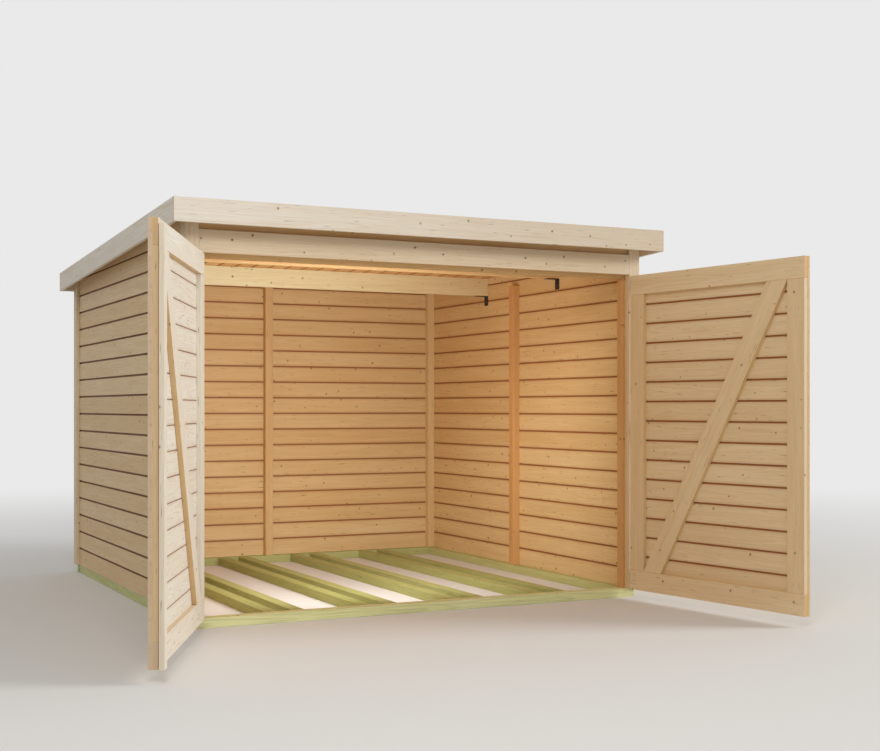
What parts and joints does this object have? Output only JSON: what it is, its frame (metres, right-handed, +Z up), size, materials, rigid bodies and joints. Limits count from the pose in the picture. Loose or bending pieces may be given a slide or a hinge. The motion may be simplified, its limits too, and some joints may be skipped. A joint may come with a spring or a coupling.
{
  "type": "bike shelter",
  "caption": "Timber bike shelter with boarded walls, a pent roof that falls to the rear, framed and braced double doors across the front, and wheel runners on the ground.",
  "frame": {"origin": "on the ground, on the underside of the front sill at the middle of the front", "axes": "+X along the front, to the right of someone facing the doors; +Y from the front to the rear; +Z up"},
  "size_m": [3.2966, 4.0109, 2.11],
  "materials": {
    "untreated_spruce": "planed, untreated",
    "treated_timber": "planed, pressure-treated, green",
    "bitumen_felt": "mineral-surfaced felt",
    "galvanised_steel": "galvanised",
    "black_coated_steel": "black powder coat"
  },
  "bodies": {
    "shelter": {"front_sill": "treated_timber", "rear_sill": "treated_timber", "left_sill": "treated_timber", "right_sill": "treated_timber", "wheel_runners_1": "treated_timber", "wheel_runners_2": "treated_timber", "wheel_runners_3": "treated_timber", "wheel_runners_4": "treated_timber", "left_wall": "untreated_spruce", "right_wall": "untreated_spruce", "rear_wall": "untreated_spruce", "left_front_post": "untreated_spruce", "right_front_post": "untreated_spruce", "left_rear_post": "untreated_spruce", "right_rear_post": "untreated_spruce", "left_middle_post": "untreated_spruce", "right_middle_post": "untreated_spruce", "rear_middle_post": "untreated_spruce", "front_left_corner_trim": "untreated_spruce", "front_right_corner_trim": "untreated_spruce", "rear_left_corner_trim": "untreated_spruce", "rear_right_corner_trim": "untreated_spruce", "door_header": "untreated_spruce", "front_lintel": "untreated_spruce", "head_stop": "untreated_spruce", "jamb_stops": "untreated_spruce", "front_purlin": "untreated_spruce", "rear_purlin": "untreated_spruce", "purlin_brackets": "black_coated_steel", "roof_deck": "untreated_spruce", "roof_felt": "bitumen_felt", "front_fascia": "untreated_spruce", "left_fascia": "untreated_spruce", "right_fascia": "untreated_spruce", "rear_fascia": "untreated_spruce", "left_post_hinges": "galvanised_steel", "right_post_hinges": "galvanised_steel"},
    "left_door": {"left_door_boards": "untreated_spruce", "left_door_stiles": "untreated_spruce", "left_door_rails": "untreated_spruce", "left_door_brace": "untreated_spruce", "left_door_closing_strip": "untreated_spruce", "left_door_hinges": "galvanised_steel"},
    "right_door": {"right_door_boards": "untreated_spruce", "right_door_stiles": "untreated_spruce", "right_door_rails": "untreated_spruce", "right_door_brace": "untreated_spruce", "right_door_hinges": "galvanised_steel"}
  },
  "joints": [
    {"name": "left_door_swing", "type": "hinge", "parent": "shelter", "child": "left_door", "pos_m": [-1.295, -0.065, 0.9516], "axis": [0, 0, -1], "range_deg": [-114.7, 60.3]},
    {"name": "right_door_swing", "type": "hinge", "parent": "shelter", "child": "right_door", "pos_m": [1.295, -0.065, 0.9516], "axis": [0, 0, 1], "range_deg": [-98, 77]}
  ]
}
